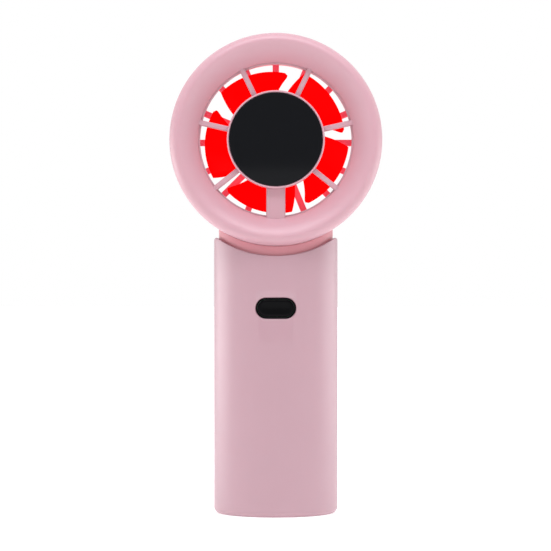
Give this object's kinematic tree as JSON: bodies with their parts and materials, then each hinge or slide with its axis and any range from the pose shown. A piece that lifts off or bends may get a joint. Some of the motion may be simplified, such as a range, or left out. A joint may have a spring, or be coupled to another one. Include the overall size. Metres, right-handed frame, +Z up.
{
  "type": "handheld electric fan",
  "caption": "Battery fan with a fixed round head, bladed impeller between two guards, and a flat-bottomed oval grip with a pill-shaped button.",
  "frame": {"origin": "centre of the flat base", "axes": "+Z up the grip to the head, +X to the right seen from the front, -Y the side that blows air"},
  "size_m": [0.0744, 0.034, 0.1692],
  "materials": {
    "pink": "satin moulded",
    "rose": "satin moulded",
    "red_clear": "tinted clear moulding",
    "black_gloss": "gloss",
    "black_plastic": "fine matte",
    "white_plastic": "plain",
    "board": "lacquered laminate",
    "steel": "plain",
    "lamination": "stamped laminations",
    "brass": "turned",
    "copper": null,
    "magnet": "sintered ferrite",
    "cell_wrap": "shrink wrap over the cell",
    "foam": "foam",
    "lead_red": "insulated wire",
    "lead_black": "insulated wire",
    "lead_yellow": "insulated wire"
  },
  "bodies": {
    "body": {"front_bezel": "pink", "rear_housing": "pink", "front_grille": "pink", "grip_sleeve": "pink", "base_cap": "pink", "rear_guard": "rose", "neck_collar": "rose", "hub_plate": "black_gloss", "button_surround": "black_gloss", "motor_mount": "brass", "motor_driver_board": "board", "front_bearing": "steel", "rear_bearing": "steel", "stator_core": "lamination", "battery_cradle": "black_plastic", "battery_cell": "cell_wrap", "positive_tab": "steel", "negative_tab": "steel", "foam_pad": "foam", "circuit_board": "board", "tact_switch": "black_plastic", "indicator_led": "white_plastic", "control_chip": "black_plastic", "inductor": "black_plastic", "capacitor": "steel", "lead_connector": "white_plastic", "usb_c_socket": "steel", "usb_c_tongue": "black_plastic", "motor_lead_1": "lead_red", "motor_lead_2": "lead_yellow", "motor_lead_3": "lead_black", "battery_lead_positive": "lead_red", "battery_lead_negative": "lead_black", "stator_winding_1": "copper", "stator_winding_2": "copper", "stator_winding_3": "copper", "stator_winding_4": "copper", "stator_winding_5": "copper", "stator_winding_6": "copper", "motor_screw_1": "steel", "motor_screw_2": "steel", "motor_screw_3": "steel", "housing_screw_1": "steel", "housing_screw_2": "steel", "housing_screw_3": "steel", "housing_screw_4": "steel", "neck_screw_1": "steel", "neck_screw_2": "steel", "base_screw_1": "steel", "base_screw_2": "steel", "board_screw_1": "steel", "board_screw_2": "steel"},
    "rotor": {"impeller": "red_clear", "rotor_can": "steel", "rotor_magnet": "magnet", "motor_shaft": "steel", "shaft_clip": "steel"},
    "button": {"power_button": "black_gloss", "switch_plunger": "white_plastic"}
  },
  "joints": [
    {"name": "impeller_spin", "type": "hinge", "parent": "body", "child": "rotor", "pos_m": [0, -0.004, 0.132], "axis": [0, 1, 0], "continuous": true},
    {"name": "button_press", "type": "slide", "parent": "body", "child": "button", "axis": [0, 1, 0], "range_m": [0, 0.0005], "stiffness_N_per_m": 2000, "springref_m": -0.0002}
  ]
}
